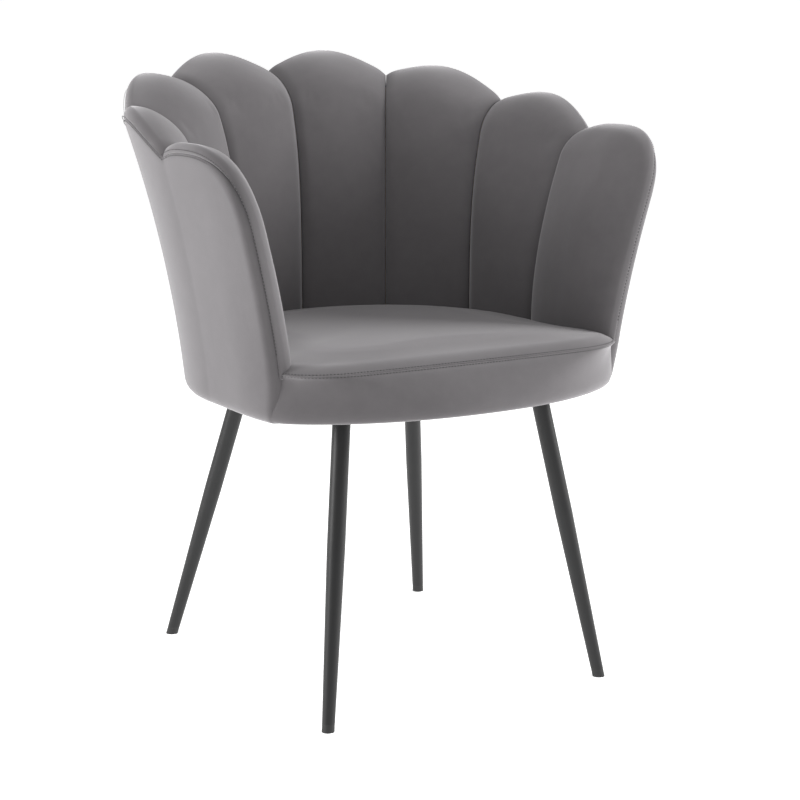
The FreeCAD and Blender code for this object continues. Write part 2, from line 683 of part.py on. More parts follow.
def staple_slots():
    """Slots for the staple legs, with clearance."""
    wire = size["staple_wire"] / 2 + size["screw_play"]
    reach = size["staple_width"] / 2 - size["staple_wire"] / 2
    slots = []
    for frame in staple_places():
        for side in (-1, 1):
            middle = side * reach
            leg = box((middle - wire, -wire, -1), (middle + wire, wire, size["staple_leg"] + 1))
            slots += placed([leg], frame)
    return Part.makeCompound(slots)


def make_staples():
    half = size["staple_width"] / 2
    wire = size["staple_wire"]
    staples = []
    for frame in staple_places():
        outside = box((-half, -wire / 2, -wire), (half, wire / 2, size["staple_leg"]))
        inside = box((wire - half, -wire, 0), (half - wire, wire, far))
        staples += placed([outside.cut(inside)], frame)
    keep("staples", Part.makeCompound(staples))


def bind(thing, bindings):
    for prop, expression in bindings.items():
        thing.setExpression(prop, expression)


def make_leg(name, foot, top):
    """A tapered tube along its own axis, cut level under its plate, with a glide in its foot."""
    axis = top - foot
    stretch = axis.Length / axis.z
    turn = Placement(foot, Rotation(Vector(0, 0, 1), axis))
    taper_end = f"sizes.leg_taper_height * {stretch}"
    solids = []
    for layer, thinner in (("outside", ""), ("inside", " - sizes.leg_wall")):
        cone = doc.addObject("Part::Cone", f"{name}_{layer}_taper")
        bind(cone, {"Radius1": f"sizes.leg_foot_radius{thinner}",
                    "Radius2": f"sizes.leg_radius{thinner}", "Height": taper_end})
        bar = doc.addObject("Part::Cylinder", f"{name}_{layer}_bar")
        bind(bar, {"Radius": f"sizes.leg_radius{thinner}", "Height": "sizes.base_height",
                   ".Placement.Base.z": taper_end})
        whole = doc.addObject("Part::Fuse", f"{name}_{layer}")
        whole.Base = cone
        whole.Tool = bar
        solids.append(whole)
    tube = doc.addObject("Part::Cut", f"{name}_tube")
    tube.Base = solids[0]
    tube.Tool = solids[1]
    tube.Placement = turn
    room = doc.addObject("Part::Box", f"{name}_room")
    bind(room, {"Length": "sizes.base_height", "Width": "sizes.base_height",
                "Height": "sizes.base_height - sizes.plate_thickness - sizes.glide_height"})
    half = size["base_height"] / 2
    middle = (foot + top) / 2
    room.Placement.Base = Vector(middle.x - half, middle.y - half, size["glide_height"])
    leg = doc.addObject("Part::Common", name)
    leg.Base = tube
    leg.Tool = room
    leg.Label = name
    parts[name] = leg
    return turn


def make_glide(name, turn):
    """Plug in the tube's foot, with a flat face on the floor."""
    cup = Part.makeCylinder(size["leg_foot_radius"], 3 * size["glide_height"],
                            Vector(0, 0, -size["glide_height"]))
    plug_radius = size["leg_foot_radius"] - size["leg_wall"] - size["screw_play"]
    plug = Part.makeCylinder(plug_radius, size["glide_height"] + size["glide_plug"])
    solids = list(placed([cup, plug], turn))
    shown = solids[0].common(box((-far, -far, 0), (far, far, size["glide_height"])))
    inner = solids[1].common(box((-far, -far, 0), (far, far, high)))
    keep(name, shown.fuse(inner).removeSplitter())


def make_plate(name, top):
    """Round steel plate with a ring of bolt holes."""
    body = doc.addObject("PartDesign::Body", f"{name}_body")
    body.Label = name
    plane = next(feature for feature in body.Origin.OriginFeatures if feature.Role == "XY_Plane")
    sketch = body.newObject("Sketcher::SketchObject", f"{name}_outline")
    sketch.AttachmentSupport = (plane, [""])
    sketch.MapMode = "FlatFace"
    rim = sketch.addGeometry(Part.Circle(Vector(0, 0, 0), Vector(0, 0, 1), size["plate_radius"]))
    sketch.addConstraint(Sketcher.Constraint("Coincident", rim, 3, -1, 1))
    radius = sketch.addConstraint(Sketcher.Constraint("Radius", rim, size["plate_radius"]))
    sketch.setExpression(f"Constraints[{radius}]", "sizes.plate_radius")
    pad = body.newObject("PartDesign::Pad", f"{name}_disc")
    pad.Profile = sketch
    pad.setExpression("Length", "sizes.plate_thickness")
    hole_sketch = body.newObject("Sketcher::SketchObject", f"{name}_hole_place")
    hole_sketch.AttachmentSupport = (plane, [""])
    hole_sketch.MapMode = "FlatFace"
    reach = size["bolt_circle_radius"] / math.sqrt(2)
    ring = hole_sketch.addGeometry(Part.Circle(Vector(reach, reach, 0), Vector(0, 0, 1),
                                               size["bolt_radius"] + size["bolt_play"]))
    radius = hole_sketch.addConstraint(
        Sketcher.Constraint("Radius", ring, size["bolt_radius"] + size["bolt_play"]))
    hole_sketch.setExpression(f"Constraints[{radius}]", "sizes.bolt_radius + sizes.bolt_play")
    for kind in ("DistanceX", "DistanceY"):
        index = hole_sketch.addConstraint(Sketcher.Constraint(kind, -1, 1, ring, 3, reach))
        hole_sketch.setExpression(f"Constraints[{index}]", "sizes.bolt_circle_radius / sqrt(2)")
    doc.recompute()
    hole = body.newObject("PartDesign::Pocket", f"{name}_hole")
    hole.Profile = hole_sketch
    hole.Type = 1
    hole.Midplane = True
    pattern = body.newObject("PartDesign::PolarPattern", f"{name}_holes")
    axis = next(feature for feature in body.Origin.OriginFeatures if feature.Role == "Z_Axis")
    pattern.Originals = [hole]
    pattern.Axis = (axis, [""])
    pattern.Angle = 360
    pattern.Occurrences = BOLTS_PER_PLATE
    body.Tip = pattern
    body.Placement.Base = top
    parts[name] = body


def make_legs():
    for place, (foot, top) in leg_places().items():
        turn = make_leg(f"leg_{place}", foot, top)
        make_glide(f"glide_{place}", turn)
        make_plate(f"leg_plate_{place}", top)


def check_and_write():
    doc.recompute()
    for thing in doc.Objects:
        if "Invalid" in thing.State or "Error" in thing.State:
            raise RuntimeError(f"{thing.Name} did not recompute: {thing.State}")
    os.makedirs("parts", exist_ok=True)
    for name, part in parts.items():
        if part.Shape.isNull() or not part.Shape.isValid() or not part.Shape.Solids:
            raise RuntimeError(f"{name} has no sound shape")
        part.Shape.exportStep(os.path.join("parts", f"{name}.step"))


make_tub()
make_petals()
make_seat()
make_bolts()
make_brackets()
make_staples()
make_legs()
check_and_write()
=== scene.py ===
import bmesh
import bpy
import math
from bpy.props import FloatProperty, FloatVectorProperty, IntProperty, PointerProperty
from bpy.types import Operator, Panel, PropertyGroup
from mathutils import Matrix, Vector


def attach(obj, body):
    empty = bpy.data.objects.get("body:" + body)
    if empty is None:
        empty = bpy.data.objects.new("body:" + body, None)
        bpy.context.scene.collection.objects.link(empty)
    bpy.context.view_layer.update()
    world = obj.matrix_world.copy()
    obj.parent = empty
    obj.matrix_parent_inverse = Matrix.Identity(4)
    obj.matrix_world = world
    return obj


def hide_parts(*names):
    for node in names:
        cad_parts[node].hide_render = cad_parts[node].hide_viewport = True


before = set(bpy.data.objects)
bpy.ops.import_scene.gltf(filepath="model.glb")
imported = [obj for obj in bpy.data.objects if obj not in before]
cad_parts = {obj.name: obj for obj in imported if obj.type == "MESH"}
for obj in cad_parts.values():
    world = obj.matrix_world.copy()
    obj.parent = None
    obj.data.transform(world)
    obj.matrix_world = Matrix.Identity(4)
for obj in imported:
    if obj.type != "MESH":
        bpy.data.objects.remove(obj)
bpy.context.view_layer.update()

bl_info = {
    "name": "Scallop Back Chair",
    "version": (1, 0, 0),
    "blender": (4, 5, 0),
    "location": "View3D > Sidebar > Chair",
    "description": "Upholstery, stitching and finishes of a channelled tub chair",
    "category": "Object",
}

# Metres. The front of the seat faces -Y and the origin is on the floor under the chair.
# A place along the padded wall is given in petals: 0 is the seam in the middle of the back,
# 1, 2 and 3 are the next seams, and 4 is the front edge of the arm.

SEAMS = 3  # seams on each side of the middle one
VALLEYS = (0.755, 0.750, 0.717, 0.684)  # height of the crown at each seam
ARCHES = (0.0275, 0.0235, 0.0245)  # rise of each round petal above its valleys
ARM_RISE = 0.010  # rise of the arm's crown in front of its seam
CORNER_POWER = 2.5  # 2 would make the arm's front corner an ellipse
LEAN_SHARE = (0.42, 0.60)  # steady lean of the inner face, at the back and at the arm
LEAN_POWER = (4.0, 1.8)  # how late up the wall that lean comes
ROLL_SHARE = 0.15  # part of the height where the inner face rolls into the crown
ARCH_POWER = 1.15  # over 1 narrows the top of each round petal
ARM_RISE_POWER = 2.2  # how early along the arm its crown has risen
ALIGN_SHARE = 0.6  # part of the straight arm over which the wall turns into its direction
FLARE_GROWTH = 0.2  # height above the seat where the arm's front edge leans out in full
CORNER_START = 0.5  # place on the arm's rim where its front corner begins
CORNER_END = 1.38  # and ends
LOWER_WRAP = 0.75  # share of the front wrap reached at the outer row of stitches
THREAD_RISE = 0.0002  # how far the thread stands out of the fabric
SEAM_DIP = 0.0008  # how far the rim seam draws the fabric in
SEAT_CENTRE = (0.0, -0.060)
# Plan of the seat's front seam, from the middle to the arm, and of its edge along the arm.
FRONT_SEAM = ((0, -0.2635), (0.060, -0.2634), (0.110, -0.2625), (0.165, -0.2600),
              (0.192, -0.2553), (0.212, -0.2470), (0.2275, -0.2350), (0.2370, -0.2185),
              (0.2410, -0.2040))
SEAT_SIDE = ((0.2410, -0.2040), (0.2350, -0.190), (0.226, -0.170), (0.2185, -0.137),
             (0.216, -0.100))
BAND_LOW = 0.3745  # height where the front band is a share of 1 down
BAND_SECTION = (  # share outwards, share down, and back under the seat
    (0.0, 0.0, 0), (0.10, 0.04, 0), (0.32, 0.11, 0), (0.56, 0.25, 0), (0.78, 0.43, 0),
    (0.94, 0.60, 0), (1.0, 0.76, 0), (1.0, 0.88, 0.0004), (1.0, 0.98, 0.0020),
    (1.0, 1.05, 0.0050), (1.0, 1.085, 0.0095), (1.0, 1.095, 0.018), (1.0, 1.095, 0.030))
FINISHES = {
    "grey_thread": {"dark": (0.030, 0.028, 0.029), "light": (0.052, 0.050, 0.051),
                    "scale": 900, "roughness": 0.8},
    "black_weave": {"dark": (0.012, 0.012, 0.013), "light": (0.03, 0.03, 0.032),
                    "scale": 1200, "roughness": 0.9},
    "black_steel": {"dark": (0.003, 0.003, 0.0033), "light": (0.006, 0.006, 0.0066),
                    "scale": 400, "roughness": 0.45, "bump": 0.05},
    "black_plastic": {"dark": (0.010, 0.010, 0.010), "light": (0.020, 0.020, 0.020),
                      "scale": 500, "roughness": 0.55},
    "bright_zinc": {"dark": (0.52, 0.53, 0.54), "light": (0.66, 0.67, 0.68),
                    "scale": 300, "roughness": 0.34, "metallic": 1.0, "bump": 0.05},
}
HARD_PARTS = {  # how their names begin, and their finish
    "leg_": "black_steel", "glide_": "black_plastic", "seat_board": "birch_plywood",
    "back_shell": "birch_plywood", "plate_bolts": "bright_zinc", "tee_nuts": "bright_zinc",
    "shell_brackets": "bright_zinc", "bracket_screws": "bright_zinc", "staples": "bright_zinc",
}


def mix(first, second, share):
    return first + (second - first) * share


def clamp(value):
    return min(1.0, max(0.0, value))


def roll(share):
    """Rise of a quarter circle, from 0 where share is 0 to 1 where it is 1."""
    return 1 - math.sqrt(1 - clamp(share) ** 2)


def follow(points, share):
    """Point on a smooth curve through evenly counted points."""
    place = clamp(share) * (len(points) - 1)
    index = min(int(place), len(points) - 2)
    rest = place - index
    near = [points[min(len(points) - 1, max(0, index + step))] for step in (-1, 0, 1, 2)]
    return tuple(
        0.5 * (2 * b + (c - a) * rest + (2 * a - 5 * b + 4 * c - d) * rest ** 2
               + (3 * b - a - 3 * c + d) * rest ** 3)
        for a, b, c, d in zip(*near))


class Wall:
    """Where the faces of the padded wall run."""

    def __init__(self, sizes):
        self.sizes = sizes
        lean = sizes.flare_lean
        chord = math.hypot(sizes.flare, sizes.flare_height)
        turn = math.atan2(sizes.flare, sizes.flare_height) - lean
        self.flare_radius = chord / (2 * math.sin(turn))
        self.flare_z = sizes.flare_start - self.flare_radius * math.sin(lean)
        self.flare_r = sizes.low_radius + self.flare_radius * math.cos(lean)
        self.foot_z = sizes.flare_start + sizes.foot_radius * math.sin(lean)
        self.foot_r = sizes.low_radius - sizes.foot_radius * math.cos(lean)
        self.arm_length = sizes.arm_straight + sizes.arm_curve

    def outer(self, height):
        """Outer face, from the tub axis."""
        if height < self.sizes.flare_start:
            below = self.foot_z - height
            return self.foot_r + math.sqrt(max(0, self.sizes.foot_radius ** 2 - below ** 2))
        above = height - self.flare_z
        return self.flare_r - math.sqrt(self.flare_radius ** 2 - above ** 2)

    def point(self, along, radius, height, side):
        """Place in the chair; side is -1 on the left and 1 on the right."""
        sizes = self.sizes
        angle = sizes.petal_angle * min(along, SEAMS)
        reach = max(0, along - SEAMS) * self.arm_length
        axis_x = 0
        upright = math.pi / 2
        if along > SEAMS:
            past = reach - sizes.arm_straight
            if past > 0:
                angle = upright + sizes.arm_turn * past / sizes.arm_curve
                reach = sizes.arm_straight
                axis_x = -sizes.arm_axis
                grown = clamp((height - sizes.seat_height) / FLARE_GROWTH)
                radius += sizes.front_flare * clamp(past / sizes.arm_curve) ** 2 * grown
            else:
                angle = mix(angle, upright, clamp(reach / (ALIGN_SHARE * sizes.arm_straight)))
        arm = radius - axis_x
        return Vector((side * (axis_x + arm * math.sin(angle)),
                       sizes.tub_y - reach + arm * math.cos(angle), height))

    def top(self, along):
        """Height of the crown, without the rounded corner of the arm."""
        petal = int(along)
        rest = along - petal
        if petal >= SEAMS:
            share = clamp((along - SEAMS) * self.arm_length / self.sizes.arm_straight)
            return VALLEYS[SEAMS] + ARM_RISE * (1 - (1 - share) ** ARM_RISE_POWER)
        arch = ARCHES[petal] * math.sin(math.pi * rest) ** ARCH_POWER
        return mix(VALLEYS[petal], VALLEYS[petal + 1], rest) + arch

    def drop(self, along):
        """How far the rim seam lies below the crown."""
        share = clamp(along / SEAMS) ** 2
        return mix(self.sizes.rim_drop_back, self.sizes.rim_drop_arm, share)

    def face(self, along, height, rolled, crest, swell):
        """Inner face, from the tub axis. rolled is 1 at the crest, swell the petal's fullness."""
        sizes = self.sizes
        arm_share = clamp(along / SEAMS)
        share = clamp((height - sizes.seat_height) / (self.top(along) - sizes.seat_height))
        lean = mix(*LEAN_SHARE, arm_share ** 2) * share ** mix(*LEAN_POWER, arm_share ** 2)
        seat = mix(sizes.seam_radius_back, sizes.seam_radius_arm, arm_share ** 2)
        seat -= sizes.bulge * swell * (1 - share ** 3)
        crown = self.outer(self.top(along) - self.drop(along)) - mix(
            sizes.crest_inset_back, sizes.crest_inset_arm, arm_share)
        return mix(mix(seat, crown, lean), crest, roll(rolled))

    def groove(self, gap):
        """How deep a petal is drawn in by the channel seam, at a distance from it."""
        return self.sizes.groove_depth * (1 - clamp(gap / self.sizes.groove_width)) ** 2

    def edge(self, place, low):
        """Rim of the arm: place is 0 at its seam, 1 in its corner and 2 at the foot of its front.

        Gives the reach along the arm and the height, the way out in that plane, and how much
        of the turn from crown to front edge is done.
        """
        sizes = self.sizes
        length = self.arm_length
        crown = VALLEYS[SEAMS] + ARM_RISE
        if place < CORNER_START:
            reach = place / CORNER_START * sizes.arm_straight
            return reach, self.top(SEAMS + reach / length), (0, 1), 0
        if place > CORNER_END:
            share = (place - CORNER_END) / (2 - CORNER_END)
            return length, mix(crown - sizes.corner_height, low, share), (1, 0), 1
        turn = (place - CORNER_START) / (CORNER_END - CORNER_START) * math.pi / 2
        power = 2 / CORNER_POWER
        across = math.sin(turn) ** power
        up = math.cos(turn) ** power
        reach = mix(sizes.arm_straight, length, across)
        height = crown - sizes.corner_height * (1 - up)
        way = (across ** (CORNER_POWER - 1) / sizes.arm_curve,
               up ** (CORNER_POWER - 1) / sizes.corner_height)
        size = math.hypot(*way)
        return reach, height, (way[0] / size, way[1] / size), math.sin(turn) ** 2

    def level(self, reach, height):
        """Where a place on the arm lies between the middle of the panel, 0, and its rim, 1.

        Also gives how much that rim is front edge rather than crown, its height there, and
        how much it faces upwards.
        """
        sizes = self.sizes
        corner = VALLEYS[SEAMS] + ARM_RISE - sizes.corner_height
        crown = self.top(SEAMS + reach / self.arm_length)
        across = max(0, (reach - sizes.arm_straight) / sizes.arm_curve)
        up = max(0, (height - corner) / (crown - corner))
        parts = across ** CORNER_POWER, up ** CORNER_POWER
        level = sum(parts) ** (1 / CORNER_POWER)
        if not level:
            return 0, 0, height, 1
        turned = parts[0] / sum(parts)
        way = (across / level) ** (CORNER_POWER - 1), (up / level) ** (CORNER_POWER - 1)
        rim = corner + (height - corner) / level if up else height
        return level, turned, rim, way[1] / math.hypot(*way)

    def seam(self, place, low, share):
        """From the arm's crest, share 0, over to its rim seam, share 1: (reach, radius, height)."""
        sizes = self.sizes
        reach, height, way, turned = self.edge(place, low)
        back = mix(sizes.rim_drop_arm, sizes.front_drop, turned)
        out = mix(sizes.crest_inset_arm, sizes.front_half, turned)
        inset = sizes.front_wrap * turned
        seam_radius = self.outer(max(low, height - way[1] * back)) - inset
        drop = back * (1 - math.cos(share * math.pi / 2))
        return (reach - way[0] * drop,
                seam_radius - out * (1 - math.sin(share * math.pi / 2)),
                height - way[1] * drop)

    def rim_point(self, along, side, offset):
        """On the rim seam; a positive offset moves on to the petal, a negative one below it."""
        sizes = self.sizes
        rim = self.top(along) - self.drop(along)
        return self.point(along, self.outer(rim + offset) + THREAD_RISE, rim + offset, side)

    def arm_rim_point(self, place, low, side, offset):
        """The same on the arm, at a place on its rim."""
        if offset > 0:
            reach, radius, height = self.seam(place, low, 1 - offset / self.sizes.rim_drop_arm)
        else:
            reach, radius, height = self.seam(place, low, 1)
            way, turned = self.edge(place, low)[2:]
            reach += way[0] * offset
            height += way[1] * offset
            radius = self.outer(height) - self.sizes.front_wrap * turned * LOWER_WRAP
        return self.point(SEAMS + reach / self.arm_length, radius + THREAD_RISE, height, side)


def patch(bottom, top, left, right, across, up):
    """Place inside four boundary curves."""
    corners = (bottom(0), bottom(1), top(0), top(1))
    return tuple(
        (1 - up) * b + up * t + (1 - across) * l + across * r
        - (1 - across) * (1 - up) * c0 - across * (1 - up) * c1
        - (1 - across) * up * c2 - across * up * c3
        for b, t, l, r, c0, c1, c2, c3 in
        zip(bottom(across), top(across), left(up), right(up), *corners))


def mapped_grid(name, columns, rows, place, loose=lambda across, up: 0.0):
    """A grid whose vertices are moved to place(across, up), both running from 0 to 1.

    loose(across, up) is how freely the fabric may swell there, from 0 at a seam to 1.
    """
    mesh = bpy.data.meshes.new(name)
    work = bmesh.new()
    bmesh.ops.create_grid(work, x_segments=columns, y_segments=rows, size=0.5)
    slack = work.verts.layers.float.new("slack")
    for vertex in work.verts:
        across = round((vertex.co.x + 0.5) * columns) / columns
        up = round((vertex.co.y + 0.5) * rows) / rows
        vertex.co = place(across, up)
        vertex[slack] = loose(across, up)
    bmesh.ops.remove_doubles(work, verts=work.verts, dist=1e-6)
    work.to_mesh(mesh)
    work.free()
    return finished(name, mesh)


def finished(name, mesh):
    mesh.shade_smooth()
    piece = bpy.data.objects.new(name, mesh)
    bpy.context.scene.collection.objects.link(piece)
    return piece


def turn_outwards(piece, inside):
    """Faces look away from a point inside the piece."""
    mesh = piece.data
    total = sum((face.center - inside).dot(face.normal) * face.area for face in mesh.polygons)
    if total < 0:
        mesh.flip_normals()


def thicken(piece, thickness):
    skin = piece.modifiers.new("skin", "SOLIDIFY")
    skin.thickness = thickness
    skin.offset = -1
    smooth = piece.modifiers.new("smooth", "SUBSURF")
    smooth.levels = 1
    smooth.render_levels = 1


def dress(piece, material):
    piece.data.materials.clear()
    piece.data.materials.append(material)


def settle(piece, sizes):
    """Blow the fabric of a piece up a little, as stuffing does, keeping its seams in place."""
    sewn_slack = 0.02
    frames = 20
    slack = [entry.value for entry in piece.data.attributes["slack"].data]
    group = piece.vertex_groups.new(name="sewn")
    for index, value in enumerate(slack):
        group.add([index], 1.0 if value < sewn_slack else 0.0, "REPLACE")
    start = [vertex.co.copy() for vertex in piece.data.vertices]
    cloth = piece.modifiers.new("cloth", "CLOTH")
    cloth.settings.vertex_group_mass = "sewn"
    cloth.settings.effector_weights.gravity = 0
    cloth.settings.use_pressure = True
    cloth.settings.uniform_pressure_force = sizes.pressure
    cloth.settings.quality = 6
    cloth.settings.tension_stiffness = 30
    cloth.settings.compression_stiffness = 30
    cloth.settings.bending_stiffness = 2
    cloth.collision_settings.use_collision = False
    cloth.point_cache.frame_start = 1
    cloth.point_cache.frame_end = frames
    for number in range(1, frames + 1):
        bpy.context.scene.frame_set(number)
        bpy.context.view_layer.update()
    ready = piece.evaluated_get(bpy.context.evaluated_depsgraph_get())
    moved = [vertex.co.copy() for vertex in ready.data.vertices]
    piece.modifiers.remove(cloth)
    piece.vertex_groups.remove(group)
    for vertex, before, after, value in zip(piece.data.vertices, start, moved, slack):
        shift = after - before
        if shift.length > sizes.most_swell:
            shift *= sizes.most_swell / shift.length
        vertex.co = before + shift * value
    bpy.context.scene.frame_set(1)


def add_node(tree, kind, settings, sockets, output=0):
    """A node with its settings and its input sockets; gives one of its outputs."""
    node = tree.nodes.new(kind)
    for key, value in settings.items():
        setattr(node, key, value)
    for key, value in sockets.items():
        if isinstance(value, Sum):
            tree.links.new(value.socket, node.inputs[key])
        else:
            node.inputs[key].default_value = value
    return Sum(tree, node.outputs[output])


class Sum:
    """A shader value that can stand in a formula."""

    def __init__(self, tree, socket):
        self.tree = tree
        self.socket = socket

    def apply(self, operation, *values):
        return add_node(self.tree, "ShaderNodeMath", {"operation": operation},
                        dict(enumerate(values)))

    def __add__(self, other):
        return self.apply("ADD", self, other)

    def __radd__(self, other):
        return self.apply("ADD", other, self)

    def __sub__(self, other):
        return self.apply("SUBTRACT", self, other)

    def __rsub__(self, other):
        return self.apply("SUBTRACT", other, self)

    def __mul__(self, other):
        return self.apply("MULTIPLY", self, other)

    def __rmul__(self, other):
        return self.apply("MULTIPLY", other, self)


class Finish:
    """A material built up from one Principled shader."""

    def __init__(self, name, **constants):
        self.material = bpy.data.materials.new(name)
        self.material.use_nodes = True
        self.tree = self.material.node_tree
        self.shader = self.tree.nodes["Principled BSDF"]
        for socket, value in constants.items():
            self.shader.inputs[socket.replace("_", " ")].default_value = value
        self.place = add_node(self.tree, "ShaderNodeTexCoord", {}, {}, "Object")

    def noise(self, scale, detail, roughness=0.5):
        return add_node(self.tree, "ShaderNodeTexNoise", {}, {
            "Vector": self.place, "Scale": scale, "Detail": detail, "Roughness": roughness})

    def blend(self, share, first, second):
        """A colour between two, given as red, green and blue."""
        return add_node(self.tree, "ShaderNodeMix", {"data_type": "RGBA"}, {
            "Factor": share, 6: (*first, 1), 7: (*second, 1)}, 2)

    def feed(self, socket, value):
        self.tree.links.new(value.socket, self.shader.inputs[socket])

    def bump(self, height, strength, distance):
        self.feed("Normal", add_node(self.tree, "ShaderNodeBump", {}, {
            "Height": height, "Strength": strength, "Distance": distance}))


def velvet_finish(name, look):
    finish = Finish(name, Sheen_Weight=look.sheen, Sheen_Roughness=look.sheen_roughness,
                    Sheen_Tint=(0.93, 0.91, 0.93, 1), Specular_IOR_Level=0.15)
    cloud = finish.noise(7, 3, 0.6)
    nap = finish.noise(1400, 2)
    brushed = finish.noise(60, 4, 0.6)
    shade = 0.55 * cloud + 0.3 * brushed + 0.15 * nap
    finish.feed("Base Color", finish.blend(shade, look.velvet_dark, look.velvet_light))
    finish.feed("Roughness", 0.82 + 0.12 * nap)
    finish.bump(0.6 * nap + 0.4 * brushed, 0.22, 0.0006)
    return finish.material


def plain_finish(name, dark, light, scale, roughness, metallic=0.0, bump=0.1):
    finish = Finish(name, Metallic=metallic)
    grain = finish.noise(scale, 4)
    finish.feed("Base Color", finish.blend(grain, dark, light))
    finish.feed("Roughness", roughness + 0.12 * (grain - 0.5))
    finish.bump(grain, bump, 0.0003)
    return finish.material


def wood_finish(name):
    """Plies stacked upwards, with a fine grain."""
    finish = Finish(name)
    height = add_node(finish.tree, "ShaderNodeSeparateXYZ", {}, {"Vector": finish.place}, "Z")
    plies = height * 700
    ply = plies.apply("PINGPONG", plies, 1.0)
    grain = finish.noise(120, 5)
    finish.feed("Base Color", finish.blend(0.5 * ply + 0.5 * grain, (0.42, 0.28, 0.15),
                                           (0.62, 0.47, 0.30)))
    finish.feed("Roughness", 0.6 + 0.2 * grain)
    finish.bump(grain, 0.15, 0.0004)
    return finish.material


def material(name):
    """One of the chair's finishes, made when it is first asked for."""
    ready = bpy.data.materials.get(name)
    if ready:
        return ready
    if name == "grey_velvet":
        return velvet_finish(name, bpy.context.scene.chair_look)
    if name == "birch_plywood":
        return wood_finish(name)
    return plain_finish(name, **FINISHES[name])


def length(name, description, default):
    return FloatProperty(name=name, description=description, default=default, unit="LENGTH")


class ChairSizes(PropertyGroup):
    low_radius: length("Low radius", "Outer face where its foot rounding ends", 0.2545)
    flare: length("Flare", "How far the outer face leans out", 0.080)
    flare_height: length("Flare height", "Height over which it leans out", 0.360)
    flare_lean: FloatProperty(
        name="Flare lean", description="Lean where the flare begins",
        default=math.radians(5.7), unit="ROTATION")
    flare_start: length("Flare start", "Height where the flare begins", 0.3799)
    foot_radius: length("Foot radius", "Rounding below the flare", 0.015)
    cover_bottom: length("Cover bottom", "Underside of the upholstery", 0.3692)
    hem: length("Hem", "Fabric turned in under the board", 0.015)
    tub_y: length("Tub axis", "Upright axis of the round back, along Y", -0.04725)
    petal_angle: FloatProperty(
        name="Petal angle", description="Angle that each round petal spans",
        default=math.radians(31), unit="ROTATION")
    arm_straight: length("Arm straight", "Straight length of the arm", 0.090)
    arm_curve: length("Arm curve", "Length of the arm that curves inwards", 0.098)
    arm_turn: FloatProperty(
        name="Arm turn", description="How far the arm curves inwards",
        default=math.radians(14.2), unit="ROTATION")
    arm_axis: length("Arm axis", "Axis of the arm's curve, beyond the middle of the chair", 0.0855)
    front_flare: length("Front flare", "How far the arm's front edge leans out beyond the rest", 0.0080)
    corner_height: length("Corner height", "Height of the arm's rounded corner", 0.097)
    rim_drop_back: length("Back rim drop", "Rim seam below the crown, at the back", 0.020)
    rim_drop_arm: length("Arm rim drop", "Rim seam below the crown, along the arm", 0.012)
    front_drop: length("Front drop", "Rim seam behind the front edge of the arm", 0.003)
    front_half: length("Front half", "Petal's share of the arm's front edge", 0.012)
    front_wrap: length("Front wrap", "Outer cover's share of that edge", 0.0105)
    front_roll: FloatProperty(
        name="Front roll", description="Share of the arm's curve that rolls over to its front edge",
        default=0.92)
    crest_inset_back: length("Back crest", "Crown line inboard of the outer face, at the back", 0.017)
    crest_inset_arm: length("Arm crest", "The same, at the arm", 0.010)
    seat_height: length("Seat height", "Edge of the seat surface", 0.437)
    seam_height: length("Seam height", "Seam of seat top and front band", 0.430)
    seat_crown: length("Seat crown", "Rise of the middle of the seat", 0.009)
    seam_radius_back: length("Back seams", "Channel seams from the tub axis, at the seat", 0.216)
    seam_radius_arm: length("Arm seams", "The same where the arm begins", 0.220)
    bulge: length("Bulge", "How far a petal swells inwards", 0.014)
    groove_depth: length("Groove depth", "How deep the channel seams draw the petals in", 0.0050)
    groove_width: length("Groove width", "How far from a seam that reaches", 0.011)
    petal_foot: length("Petal foot", "Petals reach down behind the seat to this height", 0.424)
    skin: length("Fabric", "Thickness of the upholstery fabric", 0.0012)
    pressure: FloatProperty(
        name="Pressure", description="Push of the stuffing on the fabric",
        default=4.0)
    most_swell: length("Most swell", "Furthest that the stuffing moves the fabric", 0.0035)
    stitch_length: length("Stitch length", "Length of one stitch", 0.0030)
    stitch_width: length("Stitch width", "Width of the thread", 0.0009)
    stitch_pitch: length("Stitch pitch", "From one stitch to the next", 0.0042)
    stitch_offset: length("Stitch offset", "Each row of stitches from the seam", 0.0027)
    petal_columns: IntProperty(
        name="Petal columns", description="Faces across a petal",
        default=36, min=8)
    petal_rows: IntProperty(name="Petal rows", description="Faces up a petal", default=56, min=16)


class ChairLook(PropertyGroup):
    velvet_dark: FloatVectorProperty(
        name="Velvet dark", description="Darker tone of the velvet",
        subtype="COLOR", default=(0.080, 0.0755, 0.079))
    velvet_light: FloatVectorProperty(
        name="Velvet light", description="Lighter tone of the velvet",
        subtype="COLOR", default=(0.150, 0.1415, 0.146))
    sheen: FloatProperty(
        name="Sheen", description="Light caught by the pile at grazing angles",
        default=0.66, min=0, max=1)
    sheen_roughness: FloatProperty(
        name="Sheen roughness", description="Spread of that light",
        default=0.45, min=0, max=1)
    sky: FloatProperty(name="Sky", description="Even light from all round", default=0.45, min=0)
    overhead: FloatProperty(
        name="Overhead light", description="Large soft light above the chair, in watts",
        default=14.0, min=0)
    right: FloatProperty(
        name="Right light", description="Soft light from the right, in watts",
        default=72.0, min=0)
    left: FloatProperty(
        name="Left light", description="Soft light from the left, in watts",
        default=44.0, min=0)


